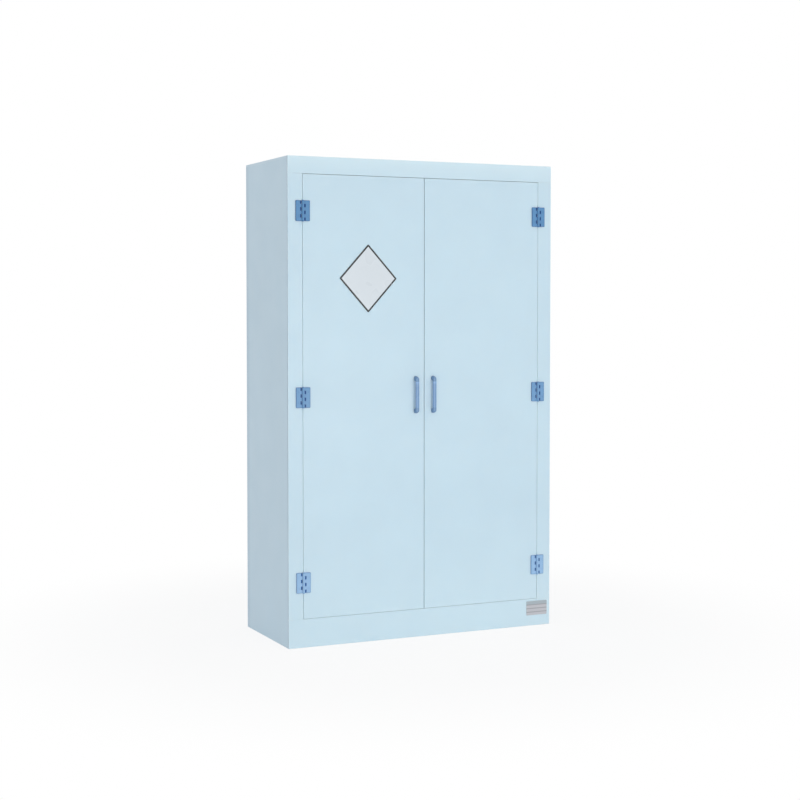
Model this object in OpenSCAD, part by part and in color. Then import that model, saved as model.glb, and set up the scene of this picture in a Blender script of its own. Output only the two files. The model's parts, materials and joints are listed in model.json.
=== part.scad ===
// Welded plastic cabinet for acid bottles: face frame, two flush doors, shelf trays and a sump.
// +X is right as seen from the front, the front faces -Y and +Z is up.
// The origin is on the floor, in the middle of the overall width and depth.

/* [Cabinet] */
// Overall width across the side panels
cabinet_w = 1100; // [960:10:1300]
// Depth from the front of the face frame to the back
cabinet_d = 450; // [380:10:600]
// Overall height
cabinet_h = 1800; // [1500:10:2000]
// Sheet thickness of the sides, back, top and floor
wall_t = 8; // [6:1:12]
// Height of the runners that carry the floor panel
runner_h = 45; // [30:1:60]
// Thickness of a runner
runner_t = 10; // [8:1:20]
// Distance between neighbouring runners
runner_pitch = 400; // [200:10:440]

/* [Face frame] */
// Thickness of the stiles and rails
frame_t = 10; // [8:1:15]
// Width of a stile
stile_w = 57; // [45:1:75]
// Height of the top rail
top_rail_h = 63; // [45:1:90]
// Height of the bottom rail
bottom_rail_h = 105; // [85:1:140]
// Thickness of the jambs, head strip and sill strip behind the frame
strip_t = 8; // [6:1:12]
// How far the strips reach back past the door stop and the catches
strip_lap = 8; // [4:1:15]

/* [Doors] */
// Gap between a door and the stile beside it or the top rail
door_gap = 1.5; // [1.5:0.5:5]
// Gap between a door and the bottom rail
foot_gap = 1; // [1:0.5:4]
// Gap between the two doors
meeting_gap = 2.5; // [2:0.5:7]
// Thickness of a door's front sheet
door_sheet_t = 8; // [7:1:12]
// Depth of the bars behind the front sheet
bar_d = 22; // [16:1:28]
// Width of the bars behind the front sheet
bar_w = 20; // [18:1:26]
// How far the bars stand back from a door's meeting edge, so that they clear the other door
bar_setback = 2; // [1:0.5:6]
// Height of the lower cross rib's middle above the door's foot
lower_rib_rise = 540; // [300:10:640]
// Distance of the upper cross rib's middle below the door's head
upper_rib_drop = 540; // [300:10:640]

/* [Hinges] */
// Height of a hinge
hinge_h = 75; // [60:1:100]
// Width of a hinge leaf, from the pin to its outer edge
leaf_w = 27.5; // [26:0.5:38]
// Thickness of a hinge leaf
leaf_t = 4; // [3.5:0.25:5.5]
// Corner radius of a hinge leaf
leaf_corner_r = 2.5; // [1:0.5:5]
// Number of knuckles in a hinge
knuckle_count = 6; // [4:2:8]
// Outer radius of a knuckle
knuckle_r = 4.5; // [4.5:0.25:7]
// Gap between neighbouring knuckles
knuckle_gap = 0.6; // [0.6:0.1:1]
// Gap between the knuckles and the faces of the frame and doors
hinge_clear = 0.3; // [0.3:0.1:1]
// Width of the slot beside a knuckle
slot_w = 6.5; // [3:0.5:8]
// Thickness of the web at the foot of the slot
slot_web_t = 1.2; // [0.8:0.1:2]
// Radius of a hinge pin
pin_r = 2.5; // [2:0.25:3]
// Radial clearance of a hinge pin in its knuckles
pin_clear = 0.05; // [0.02:0.01:0.1]
// Radius of the heads on a hinge pin
pin_head_r = 3.8; // [3.4:0.1:4.5]
// Height of the heads on a hinge pin
pin_head_h = 1.5; // [1:0.1:3]
// Distance from a door's end to the middle of the nearest hinge
hinge_inset = 134; // [90:1:200]

/* [Hinge screws] */
// Shank radius
screw_r = 2.2; // [1.6:0.1:2.6]
// Radius of the countersunk head
screw_head_r = 4.4; // [3.6:0.1:5]
// Height of the countersunk head
screw_head_h = 2.4; // [1.8:0.1:3]
// How far a screw reaches into the sheet behind the leaf
screw_bite = 5.5; // [4:0.5:6]
// Distance between the two screws of a leaf
screw_pitch = 40; // [26:1:44]
// Radial clearance of every screw in its hole
screw_clear = 0.1; // [0.05:0.05:0.2]
// Room left past the tip of every screw
screw_tip_room = 0.5; // [0.3:0.1:0.8]
// Width of the cross recess in a screw head
recess_w = 1.1; // [0.8:0.1:1.5]
// Length of the cross recess in a screw head
recess_l = 4.6; // [3:0.1:5.5]
// Depth of the cross recess in a screw head
recess_d = 1.2; // [0.8:0.1:1.5]

/* [Handles] */
// Overall length of a handle
handle_len = 141; // [120:1:180]
// Width of a handle
handle_w = 14; // [12:1:20]
// How far a handle stands out from the door
handle_proj = 20; // [18:1:40]
// Thickness of the grip
grip_t = 8; // [6:0.5:10]
// Length of a foot along the door
foot_len = 18; // [16:1:24]
// Length of the curved end outside
end_run = 8; // [6:1:24]
// Length of the curved end inside
inner_run = 6; // [4:1:14]
// Distance from a door's meeting edge to the middle of its handle
handle_inset = 35; // [34:1:60]
// Shank radius of a handle screw
handle_screw_r = 2.5; // [2:0.1:3]
// Head radius of a handle screw
handle_screw_head_r = 5.5; // [4:0.1:6.5]
// Head height of a handle screw
handle_screw_head_h = 3.5; // [2.5:0.1:5]
// How far a handle screw reaches into the handle
handle_screw_bite = 12; // [8:0.5:14]

/* [Catches] */
// Thickness of the door stop
stop_t = 8; // [6:1:12]
// How far the door stop hangs below the head strip
stop_drop = 22; // [15:1:30]
// Gap between a shut door and the door stop
stop_gap = 0.5; // [0.3:0.1:1.5]
// Width of a catch housing
catch_w = 46; // [44:1:60]
// Depth of a catch housing
catch_d = 18; // [14:1:24]
// Wall of a catch housing below its magnet
catch_wall = 4; // [3:0.5:6]
// Gap between a catch and the door stop beside it
catch_side_gap = 1; // [0.5:0.1:3]
// Gap between a shut door's strike plate and the catch
catch_gap = 0.3; // [0.3:0.1:1]
// Distance from a door's meeting edge to the middle of its catch
catch_inset = 58; // [40:1:120]
// Width of a magnet
magnet_w = 34; // [24:1:38]
// Height of a magnet
magnet_h = 10; // [6:1:12]
// Depth of a magnet
magnet_d = 5; // [3:0.5:8]
// Gap around a magnet in its housing
magnet_clear = 0.2; // [0.1:0.1:0.5]
// Width of a strike plate
strike_w = 40; // [30:1:43]
// Height of a strike plate
strike_h = 14; // [10:1:17]
// Thickness of a strike plate
strike_t = 2; // [1:0.5:3]

/* [Shelves] */
// Sheet thickness of the trays
tray_t = 6; // [4:0.5:8]
// Height of a shelf tray
tray_h = 40; // [30:1:60]
// Height of the sump tray
sump_h = 44; // [30:1:80]
// Gap between the trays and the shelf standards beside them
tray_side_gap = 2; // [1:0.5:6]
// Gap between the trays and the jambs in front of them
tray_front_gap = 10; // [4:1:30]
// Gap between the trays and the back panel
tray_back_gap = 5; // [2:1:20]
// Width of a shelf standard
standard_w = 30; // [24:1:50]
// Thickness of a shelf standard
standard_t = 10; // [8:1:16]
// Distance from a tray's front or back edge to the middle of the nearest standard
standard_inset = 60; // [30:1:100]
// Radius of the peg holes
peg_hole_r = 5; // [4:0.25:6]
// Distance between neighbouring peg holes
peg_pitch = 80; // [60:1:100]
// Height of the lowest peg hole above the floor panel
peg_first = 147; // [110:1:200]
// Room kept above the highest peg hole
peg_head_room = 100; // [60:5:200]
// Radial clearance of a peg in its hole
peg_clear = 0.05; // [0.02:0.01:0.2]
// Length of a peg's head under the tray
peg_head_l = 18; // [10:1:30]
// Width of a peg's head
peg_head_w = 14; // [12:1:22]
// Height of a peg's head
peg_head_h = 13; // [12:1:20]

/* [Sign and nameplate] */
// Width of the diamond sign across its corners
sign_w = 232; // [180:1:250]
// Height of the diamond sign across its corners
sign_h = 254; // [180:1:270]
// Thickness of the diamond sign
sign_t = 1; // [0.5:0.1:2]
// Distance from the door's meeting edge to the middle of the sign
sign_inset = 230; // [200:1:235]
// Distance of the middle of the sign below the door's head
sign_drop = 378; // [300:1:450]
// Width of the nameplate
nameplate_w = 91; // [60:1:120]
// Height of the nameplate
nameplate_h = 55; // [30:1:62]
// Thickness of the nameplate
nameplate_t = 1; // [0.5:0.1:2]
// Distance of the nameplate from the cabinet's side
nameplate_inset = 13; // [8:1:60]
// Distance of the nameplate below the bottom rail's upper edge
nameplate_drop = 9; // [5:1:15]

/* [Hidden] */
$fn = 48;
arc_step = 15;
through = 1;
leaf_lap = 1;

sheet_colour = [0.78, 0.87, 0.93];
liner_colour = [0.86, 0.91, 0.94];
hardware_colour = [0.44, 0.58, 0.76];
steel_colour = [0.68, 0.70, 0.72];
magnet_colour = [0.25, 0.26, 0.28];
sign_colour = [0.90, 0.91, 0.92];
nameplate_colour = [0.74, 0.74, 0.76];

// Carcass planes
half_w = cabinet_w / 2;
inner_half_w = half_w - wall_t;
front_y = (handle_proj - cabinet_d) / 2;
back_y = front_y + cabinet_d;
frame_back_y = front_y + frame_t;
inner_back_y = back_y - wall_t;
ceiling_z = cabinet_h - wall_t;
floor_z = runner_h + wall_t;

// Door opening
open_half_w = half_w - stile_w;
open_foot_z = bottom_rail_h;
open_head_z = cabinet_h - top_rail_h;

// Doors
door_t = door_sheet_t + bar_d;
door_foot_z = open_foot_z + foot_gap;
door_head_z = open_head_z - door_gap;
door_mid_z = (door_foot_z + door_head_z) / 2;
door_hinge_x = open_half_w - door_gap;
door_meeting_x = meeting_gap / 2;
bar_meeting_x = door_meeting_x + bar_setback;
sheet_back_y = front_y + door_sheet_t;
door_back_y = front_y + door_t;
handle_x = door_meeting_x + handle_inset;
screw_foot_z = (handle_len - foot_len) / 2;
grip_gap = handle_proj - grip_t;

// Hinges: the pin stands in front of the faces, far enough for the leaves to fold together
hinge_x = open_half_w - door_gap / 2;
standoff = max(knuckle_r, leaf_t) + hinge_clear;
hinge_y = front_y - standoff;
leaf_front = standoff - leaf_t;
slot_r = knuckle_r + slot_w;
knuckle_pitch = hinge_h / knuckle_count;
knuckle_l = knuckle_pitch - knuckle_gap;
leaf_screw_x = (slot_r + leaf_w) / 2;
screw_l = leaf_t + screw_bite;

// Catches
stop_front_y = door_back_y + stop_gap;
catch_x = door_meeting_x + catch_inset;
catch_front_y = door_back_y + strike_t + catch_gap;
catch_z = door_head_z - bar_w / 2;
catch_foot_z = catch_z - magnet_h / 2 - catch_wall;
jamb_back_y = stop_front_y + stop_t + strip_lap;
head_back_y = catch_front_y + catch_d + strip_lap;

// Shelves
tray_half_w = inner_half_w - standard_t - tray_side_gap;
tray_front_y = jamb_back_y + tray_front_gap;
tray_back_y = inner_back_y - tray_back_gap;
standard_ys = [tray_front_y + standard_inset, tray_back_y - standard_inset];
peg_first_z = floor_z + peg_first;
peg_count = floor((ceiling_z - peg_head_room - peg_first_z) / peg_pitch) + 1;

SIDES = ["left", "right"];
DEPTHS = ["front", "rear"];
HEIGHTS = ["lower", "middle", "upper"];

NODES = concat(
    ["back_panel", "top_panel", "floor_panel", "base_runners"],
    ["top_rail", "bottom_rail", "head_strip", "sill_strip", "door_stop", "catch_magnets"],
    ["shelf_pegs", "sump_tray", "nameplate", "sign_plate"],
    [for (height = HEIGHTS) str(height, "_shelf_tray")],
    [for (side = SIDES, depth = DEPTHS) str(side, "_", depth, "_shelf_standard")],
    [for (side = SIDES, piece = [
        "side_panel", "stile", "jamb", "catch_housing", "hinge_pins", "frame_leaf_screws",
        "door_panel", "door_uprights", "door_crossbars", "strike_plate", "handle", "handle_screws",
        "door_leaf_screws"
    ]) str(side, "_", piece)],
    [for (side = SIDES, height = HEIGHTS, piece = ["frame_leaf", "door_leaf"])
        str(side, "_", height, "_", piece)]
);
node = "all";

function shown(name) = node == "all" || node == name;

// 1 on the right and -1 on the left
function hand(side) = side == "left" ? -1 : 1;

// Height of a hinge's middle, a shelf's peg hole and a knuckle's middle
function hinge_z(i) = door_foot_z + hinge_inset + i * (door_head_z - door_foot_z - 2 * hinge_inset) / 2;
function peg_z(k) = peg_first_z + k * peg_pitch;
function shelf_peg_z(i) = peg_z(floor(peg_count * (i + 1) / (len(HEIGHTS) + 1)));
function knuckle_z(k) = hinge_h / 2 - (k + 0.5) * knuckle_pitch;

// Points of an elliptical arc around [centre, 0]
function arc(centre, run, rise, from, to) = [
    for (a = [from : sign(to - from) * arc_step : to]) [centre + run * cos(a), rise * sin(a)]
];

// A box between two corners
module block(low, high) {
    translate(low)
        cube(high - low);
}

// Draws the right-hand shape, mirrored for the left
module on_side(direction) {
    mirror([direction < 0 ? 1 : 0, 0, 0])
        children();
}

// Moves a shape drawn along +Z so that it points from the front to the back
module driven_back() {
    rotate([-90, 0, 0])
        children();
}

// Carcass
module side_panel(direction) {
    color(sheet_colour)
        on_side(direction)
            block([inner_half_w, frame_back_y, 0], [half_w, back_y, ceiling_z]);
}

module back_panel() {
    color(sheet_colour)
        block([-inner_half_w, inner_back_y, 0], [inner_half_w, back_y, ceiling_z]);
}

module top_panel() {
    color(sheet_colour)
        block([-half_w, frame_back_y, ceiling_z], [half_w, back_y, cabinet_h]);
}

module floor_panel() {
    color(sheet_colour)
        block([-inner_half_w, frame_back_y, runner_h], [inner_half_w, inner_back_y, floor_z]);
}

module base_runners() {
    color(sheet_colour)
        for (i = [-1 : 1])
            translate([i * runner_pitch, 0, 0])
                block([-runner_t / 2, frame_back_y, 0], [runner_t / 2, inner_back_y, runner_h]);
}

// Face frame
module stile(direction) {
    color(sheet_colour)
        difference() {
            on_side(direction)
                block([open_half_w, front_y, open_foot_z], [half_w, frame_back_y, open_head_z]);
            hinge_screw_places(direction, direction)
                pilot_hole();
        }
}

module top_rail() {
    color(sheet_colour)
        block([-half_w, front_y, open_head_z], [half_w, frame_back_y, cabinet_h]);
}

module bottom_rail() {
    color(sheet_colour)
        block([-half_w, front_y, 0], [half_w, frame_back_y, open_foot_z]);
}

module jamb(direction) {
    color(sheet_colour)
        on_side(direction)
            block([open_half_w, frame_back_y, open_foot_z],
                [open_half_w + strip_t, jamb_back_y, open_head_z]);
}

module head_strip() {
    reach = open_half_w + strip_t;
    color(sheet_colour)
        block([-reach, frame_back_y, open_head_z], [reach, head_back_y, open_head_z + strip_t]);
}

module sill_strip() {
    reach = open_half_w + strip_t;
    color(sheet_colour)
        block([-reach, frame_back_y, open_foot_z - strip_t], [reach, jamb_back_y, open_foot_z]);
}

// Door stop and catches
module door_stop() {
    catch_reach = catch_w / 2 + catch_side_gap;
    low = [stop_front_y, open_head_z - stop_drop];
    high = [stop_front_y + stop_t, open_head_z];
    color(sheet_colour) {
        block([catch_reach - catch_x, low[0], low[1]], [catch_x - catch_reach, high[0], high[1]]);
        for (direction = [-1, 1])
            on_side(direction)
                block([catch_x + catch_reach, low[0], low[1]], [open_half_w, high[0], high[1]]);
    }
}

// The magnet's block, or its pocket when room is given
module magnet(direction, room) {
    x = direction * catch_x;
    mouth_y = catch_front_y - (room > 0 ? through : 0);
    block([x - magnet_w / 2 - room, mouth_y, catch_z - magnet_h / 2 - room],
        [x + magnet_w / 2 + room, catch_front_y + magnet_d, catch_z + magnet_h / 2 + room]);
}

module catch_housing(direction) {
    x = direction * catch_x;
    color(liner_colour)
        difference() {
            block([x - catch_w / 2, catch_front_y, catch_foot_z],
                [x + catch_w / 2, catch_front_y + catch_d, open_head_z]);
            magnet(direction, magnet_clear);
        }
}

module catch_magnets() {
    color(magnet_colour)
        for (direction = [-1, 1])
            magnet(direction, 0);
}

module strike_plate(direction) {
    x = direction * catch_x;
    color(steel_colour)
        block([x - strike_w / 2, door_back_y, catch_z - strike_h / 2],
            [x + strike_w / 2, door_back_y + strike_t, catch_z + strike_h / 2]);
}

// Shelf standards, pegs and trays
module shelf_standard(direction, y) {
    color(sheet_colour)
        on_side(direction)
            difference() {
                block([inner_half_w - standard_t, y - standard_w / 2, floor_z],
                    [inner_half_w, y + standard_w / 2, ceiling_z]);
                for (k = [0 : peg_count - 1])
                    translate([inner_half_w - standard_t / 2, y, peg_z(k)])
                        rotate([0, 90, 0])
                            cylinder(r = peg_hole_r, h = standard_t + 2 * through, center = true);
            }
}

module shelf_peg() {
    translate([-standard_t, 0, 0])
        rotate([0, 90, 0])
            cylinder(r = peg_hole_r - peg_clear, h = standard_t);
    block([-standard_t - peg_head_l, -peg_head_w / 2, -peg_head_h / 2],
        [-standard_t, peg_head_w / 2, peg_head_h / 2]);
}

module shelf_pegs() {
    color(liner_colour)
        for (i = [0 : len(HEIGHTS) - 1], direction = [-1, 1], y = standard_ys)
            on_side(direction)
                translate([inner_half_w, y, shelf_peg_z(i)])
                    shelf_peg();
}

module tray(z, h) {
    color(liner_colour)
        difference() {
            block([-tray_half_w, tray_front_y, z], [tray_half_w, tray_back_y, z + h]);
            block([tray_t - tray_half_w, tray_front_y + tray_t, z + tray_t],
                [tray_half_w - tray_t, tray_back_y - tray_t, z + h + through]);
        }
}

module shelf_tray(i) {
    tray(shelf_peg_z(i) + peg_head_h / 2, tray_h);
}

module sump_tray() {
    tray(floor_z, sump_h);
}

// Hinges: frame and door leaves are one moulding, so a leaf's knuckles follow from the way it points
module at_hinge(direction, i) {
    translate([direction * hinge_x, hinge_y, hinge_z(i)])
        children();
}

module leaf_plate() {
    r = leaf_corner_r;
    block([slot_r, leaf_front, -hinge_h / 2], [leaf_w - r, standoff, hinge_h / 2]);
    block([slot_r, leaf_front, r - hinge_h / 2], [leaf_w, standoff, hinge_h / 2 - r]);
    for (z = [r - hinge_h / 2, hinge_h / 2 - r])
        translate([leaf_w - r, leaf_front, z])
            driven_back()
                cylinder(r = r, h = leaf_t);
}

module leaf_screw_places() {
    for (z = [-screw_pitch / 2, screw_pitch / 2])
        translate([leaf_screw_x, leaf_front, z])
            driven_back()
                children();
}

// A countersunk shape whose head is flush with Z = 0
module countersunk(room, length) {
    cylinder(r1 = screw_head_r + room, r2 = screw_r + room, h = screw_head_h);
    cylinder(r = screw_r + room, h = length);
}

module cross_recess() {
    block([-recess_l / 2, -recess_w / 2, -through], [recess_l / 2, recess_w / 2, recess_d]);
    block([-recess_w / 2, -recess_l / 2, -through], [recess_w / 2, recess_l / 2, recess_d]);
}

module hinge_leaf(points) {
    first = points > 0 ? 0 : 1;
    half = knuckle_pitch / 2;
    on_side(points)
        difference() {
            union() {
                leaf_plate();
                for (k = [first : 2 : knuckle_count - 1]) {
                    block([0, leaf_front, knuckle_z(k) - half],
                        [slot_r + leaf_lap, standoff, knuckle_z(k) + half]);
                    translate([0, 0, knuckle_z(k)])
                        cylinder(r = knuckle_r, h = knuckle_l, center = true);
                }
                for (k = [1 - first : 2 : knuckle_count - 1])
                    block([knuckle_r + hinge_clear, standoff - slot_web_t, knuckle_z(k) - half],
                        [slot_r + leaf_lap, standoff, knuckle_z(k) + half]);
            }
            cylinder(r = pin_r + pin_clear, h = hinge_h + 2 * through, center = true);
            leaf_screw_places()
                countersunk(screw_clear, screw_l);
        }
}

module frame_leaf(direction, i) {
    color(hardware_colour)
        at_hinge(direction, i)
            hinge_leaf(direction);
}

module door_leaf(direction, i) {
    color(hardware_colour)
        at_hinge(direction, i)
            hinge_leaf(-direction);
}

module hinge_pins(direction) {
    head_foot = (hinge_h - knuckle_gap) / 2 + hinge_clear;
    color(hardware_colour)
        for (i = [0 : len(HEIGHTS) - 1])
            at_hinge(direction, i) {
                cylinder(r = pin_r, h = 2 * head_foot, center = true);
                for (up = [0, 1])
                    mirror([0, 0, 1 - up])
                        translate([0, 0, head_foot])
                            cylinder(r = pin_head_r, h = pin_head_h);
            }
}

// Every screw place of the leaves that point one way, on one side's hinges
module hinge_screw_places(direction, points) {
    for (i = [0 : len(HEIGHTS) - 1])
        at_hinge(direction, i)
            on_side(points)
                leaf_screw_places()
                    children();
}

module pilot_hole() {
    cylinder(r = screw_r + screw_clear, h = screw_l + screw_tip_room);
}

module hinge_screws(direction, points) {
    color(hardware_colour)
        hinge_screw_places(direction, points)
            difference() {
                countersunk(0, screw_l);
                cross_recess();
            }
}

// Doors
module handle_screw_places(direction) {
    for (end = [-1, 1])
        translate([direction * handle_x, sheet_back_y, door_mid_z + end * screw_foot_z])
            rotate([90, 0, 0])
                children();
}

module door_panel(direction) {
    color(sheet_colour)
        difference() {
            on_side(direction)
                block([door_meeting_x, front_y, door_foot_z], [door_hinge_x, sheet_back_y, door_head_z]);
            hinge_screw_places(direction, -direction)
                pilot_hole();
            handle_screw_places(direction)
                translate([0, 0, -through])
                    cylinder(r = handle_screw_r + screw_clear, h = door_sheet_t + 2 * through);
        }
}

module door_uprights(direction) {
    color(sheet_colour)
        on_side(direction)
            for (x = [bar_meeting_x, door_hinge_x - bar_w])
                block([x, sheet_back_y, door_foot_z], [x + bar_w, door_back_y, door_head_z]);
}

module door_crossbars(direction) {
    low_x = bar_meeting_x + bar_w;
    high_x = door_hinge_x - bar_w;
    middles = [
        door_foot_z + bar_w / 2,
        door_foot_z + lower_rib_rise,
        door_head_z - upper_rib_drop,
        door_head_z - bar_w / 2
    ];
    color(sheet_colour)
        on_side(direction)
            for (z = middles)
                block([low_x, sheet_back_y, z - bar_w / 2], [high_x, door_back_y, z + bar_w / 2]);
}

// Outline of a handle: length along X, distance from the door along Y
module handle_outline() {
    outer = handle_len / 2 - end_run;
    inner = handle_len / 2 - foot_len - inner_run;
    polygon(concat(
        arc(outer, end_run, handle_proj, 0, 90),
        arc(-outer, end_run, handle_proj, 90, 180),
        arc(-inner, inner_run, grip_gap, 180, 90),
        arc(inner, inner_run, grip_gap, 90, 0)
    ));
}

module handle(direction) {
    color(hardware_colour)
        difference() {
            translate([direction * handle_x, front_y, door_mid_z])
                rotate([180, -90, 0])
                    linear_extrude(handle_w, center = true)
                        handle_outline();
            handle_screw_places(direction)
                cylinder(r = handle_screw_r + screw_clear,
                    h = door_sheet_t + handle_screw_bite + screw_tip_room);
        }
}

module handle_screws(direction) {
    color(hardware_colour)
        handle_screw_places(direction)
            difference() {
                union() {
                    cylinder(r = handle_screw_r, h = door_sheet_t + handle_screw_bite);
                    translate([0, 0, -handle_screw_head_h])
                        cylinder(r = handle_screw_head_r, h = handle_screw_head_h);
                }
                translate([0, 0, -handle_screw_head_h])
                    cross_recess();
            }
}

// Plates on the front
module sign_plate() {
    color(sign_colour)
        translate([-door_meeting_x - sign_inset, front_y, door_head_z - sign_drop])
            rotate([90, 0, 0])
                linear_extrude(sign_t)
                    polygon([[sign_w / 2, 0], [0, sign_h / 2], [-sign_w / 2, 0], [0, -sign_h / 2]]);
}

module nameplate() {
    right = half_w - nameplate_inset;
    head = open_foot_z - nameplate_drop;
    color(nameplate_colour)
        block([right - nameplate_w, front_y - nameplate_t, head - nameplate_h], [right, front_y, head]);
}

if (shown("back_panel")) back_panel();
if (shown("top_panel")) top_panel();
if (shown("floor_panel")) floor_panel();
if (shown("base_runners")) base_runners();
if (shown("top_rail")) top_rail();
if (shown("bottom_rail")) bottom_rail();
if (shown("head_strip")) head_strip();
if (shown("sill_strip")) sill_strip();
if (shown("door_stop")) door_stop();
if (shown("catch_magnets")) catch_magnets();
if (shown("shelf_pegs")) shelf_pegs();
if (shown("sump_tray")) sump_tray();
if (shown("nameplate")) nameplate();
if (shown("sign_plate")) sign_plate();

for (i = [0 : len(HEIGHTS) - 1])
    if (shown(str(HEIGHTS[i], "_shelf_tray"))) shelf_tray(i);

for (side = SIDES) {
    if (shown(str(side, "_side_panel"))) side_panel(hand(side));
    if (shown(str(side, "_stile"))) stile(hand(side));
    if (shown(str(side, "_jamb"))) jamb(hand(side));
    if (shown(str(side, "_catch_housing"))) catch_housing(hand(side));
    if (shown(str(side, "_hinge_pins"))) hinge_pins(hand(side));
    if (shown(str(side, "_frame_leaf_screws"))) hinge_screws(hand(side), hand(side));
    if (shown(str(side, "_door_leaf_screws"))) hinge_screws(hand(side), -hand(side));
    if (shown(str(side, "_door_panel"))) door_panel(hand(side));
    if (shown(str(side, "_door_uprights"))) door_uprights(hand(side));
    if (shown(str(side, "_door_crossbars"))) door_crossbars(hand(side));
    if (shown(str(side, "_strike_plate"))) strike_plate(hand(side));
    if (shown(str(side, "_handle"))) handle(hand(side));
    if (shown(str(side, "_handle_screws"))) handle_screws(hand(side));
    for (d = [0 : len(DEPTHS) - 1])
        if (shown(str(side, "_", DEPTHS[d], "_shelf_standard"))) shelf_standard(hand(side), standard_ys[d]);
    for (i = [0 : len(HEIGHTS) - 1]) {
        if (shown(str(side, "_", HEIGHTS[i], "_frame_leaf"))) frame_leaf(hand(side), i);
        if (shown(str(side, "_", HEIGHTS[i], "_door_leaf"))) door_leaf(hand(side), i);
    }
}
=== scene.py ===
"""Looks of the acid storage cabinet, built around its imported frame.

Lengths are in metres, in the cabinet's own frame: +X to the right, +Y to the back and +Z up.
Boards, trays, handles, plates and weld beads are surfaces worked out as arrays of points.
Hinges, pins, screws, pegs, catch housings and shelf standards keep their own solids, with softened edges.
"""
import json
import math
from collections import namedtuple

import bpy
import numpy as np
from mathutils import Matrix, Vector


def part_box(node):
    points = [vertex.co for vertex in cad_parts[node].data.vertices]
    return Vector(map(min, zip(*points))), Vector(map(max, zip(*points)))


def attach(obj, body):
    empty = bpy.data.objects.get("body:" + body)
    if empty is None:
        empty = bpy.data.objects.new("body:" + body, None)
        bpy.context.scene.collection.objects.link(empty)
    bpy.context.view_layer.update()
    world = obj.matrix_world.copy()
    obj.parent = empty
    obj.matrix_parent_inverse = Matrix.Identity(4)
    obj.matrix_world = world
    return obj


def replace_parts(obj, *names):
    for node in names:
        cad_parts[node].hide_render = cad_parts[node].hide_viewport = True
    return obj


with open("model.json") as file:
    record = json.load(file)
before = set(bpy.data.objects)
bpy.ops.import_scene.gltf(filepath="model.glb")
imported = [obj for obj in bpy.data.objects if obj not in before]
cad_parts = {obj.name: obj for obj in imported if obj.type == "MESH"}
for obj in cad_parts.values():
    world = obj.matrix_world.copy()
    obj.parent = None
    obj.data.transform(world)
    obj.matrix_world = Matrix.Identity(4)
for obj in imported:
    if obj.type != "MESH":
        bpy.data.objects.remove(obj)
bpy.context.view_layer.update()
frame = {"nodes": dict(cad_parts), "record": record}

MM = 0.001
SIDES = ["left", "right"]
HEIGHTS = ["lower", "middle", "upper"]

# Boards
PANEL_ROUND = 0.5 * MM
STRIP_ROUND = 0.8 * MM
DOOR_ROUND = 0.5 * MM
BAR_ROUND = 1.2 * MM
STRIKE_ROUND = 0.5 * MM
EDGE_BAND = 3.0 * MM
ROUND_STEPS = 3
ROUND_SHARE = 0.45

# Painted light and shade, translucency and a joint line on the front and side boards
FRONT_GLOW = 2.0 * MM
# Painted shade towards the side panels' rear edge
REAR_BAND = 45.0 * MM
# Painted light on the front boards, towards the floor and towards the top edge
PAINTED_LIGHT_FOOT_H, PAINTED_LIGHT_FOOT_SHARE = 450.0 * MM, 0.27
PAINTED_LIGHT_HEAD_H, PAINTED_LIGHT_HEAD_SHARE = 80.0 * MM, 0.44
# Painted shade on the outer edges of the front boards
OUTER_SHADE_START, OUTER_SHADE_FULL = 0.4 * MM, 0.1 * MM
# Painted light inside the gaps round the doors
GAP_EDGE_FULL, GAP_EDGE_END = 5.0 * MM, 2.0 * MM
HINGE_SIDE_SHARE = 0.6
JOINT_CORE, JOINT_HALF_H = 0.5 * MM, 0.9 * MM
JOINT_START, JOINT_FULL, JOINT_END = 42.0 * MM, 34.0 * MM, 0.5 * MM

# Trays
TRAY_WALL = 6.0 * MM
TRAY_FOOT_ROUND = 1.5 * MM
TRAY_RIM_ROUND = 2.2 * MM
TRAY_WELD_ROUND = 5.0 * MM
TRAY_CORNER_ROUND = 6.0 * MM
TRAY_INNER_CORNER_ROUND = 3.0 * MM

# Handles
GRIP_T = 8.0 * MM
FOOT_LEN = 18.0 * MM
END_RUN = 8.0 * MM
INNER_RUN = 6.0 * MM
CAP_LEN = 20.5 * MM
GROOVE_HALF_W = 0.7 * MM
GROOVE_SHARE = 0.94
SECTION_POWER = 2.6
SECTION_POINTS = 48
FOOT_STATIONS = 9
SHOULDER_STATIONS = 7
GRIP_STATIONS = 6
# Rows of the painted highlight on the grip below the upper cap
HIGHLIGHT_STATIONS = 3

# Hinges
LEAF_W = 27.5 * MM
KNUCKLE_R = 4.5 * MM
# Painted shade on the hinge leaves' rims and in their slots
RIM_START, RIM_FULL = 3.0 * MM, 0.9 * MM
SLOT_START, SLOT_FULL = 3.4 * MM, 1.6 * MM
SLOT_BLEND = 0.3 * MM
FLANK_SHARE = 0.3
HINGE_SHINE = 0.25
# How the painted light on the hinges grows towards the floor
PALING_POWER = 1.85

# Plates
PLATE_ROUND = 0.3 * MM
SIGN_CORNER_ROUND = 4.0 * MM
NAMEPLATE_CORNER_ROUND = 2.5 * MM
BORDER_START, BORDER_FULL = 0.925, 0.93
BAND_START, BAND_FULL = 0.745, 0.755
RULED_LINES = (0.22, 0.48, 0.74)
LINE_CORE, LINE_HALF_H = 0.025, 0.035

# Soft edges of the solids that are kept
LEAF_ROUND = 0.45 * MM
PIN_ROUND = 0.3 * MM
SCREW_ROUND = 0.15 * MM
CATCH_ROUND = 0.6 * MM
STANDARD_ROUND = 0.5 * MM
PEG_ROUND = 0.5 * MM
CLOSING_DISTANCE = 0.002 * MM
SHARP_ANGLE = math.radians(35)

# Weld beads
BEAD_SIZE = 4.0 * MM
DOOR_BEAD_SIZE = 3.0 * MM
BEAD_SINK = 0.5 * MM
BEAD_STEP = 2.0 * MM
BEAD_TAPER = 5.0 * MM
BEAD_END_SHARE = 0.2
BEAD_POINTS = 5
RIPPLE_PITCH = 8.0 * MM
RIPPLE_SHARE = 0.07

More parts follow.
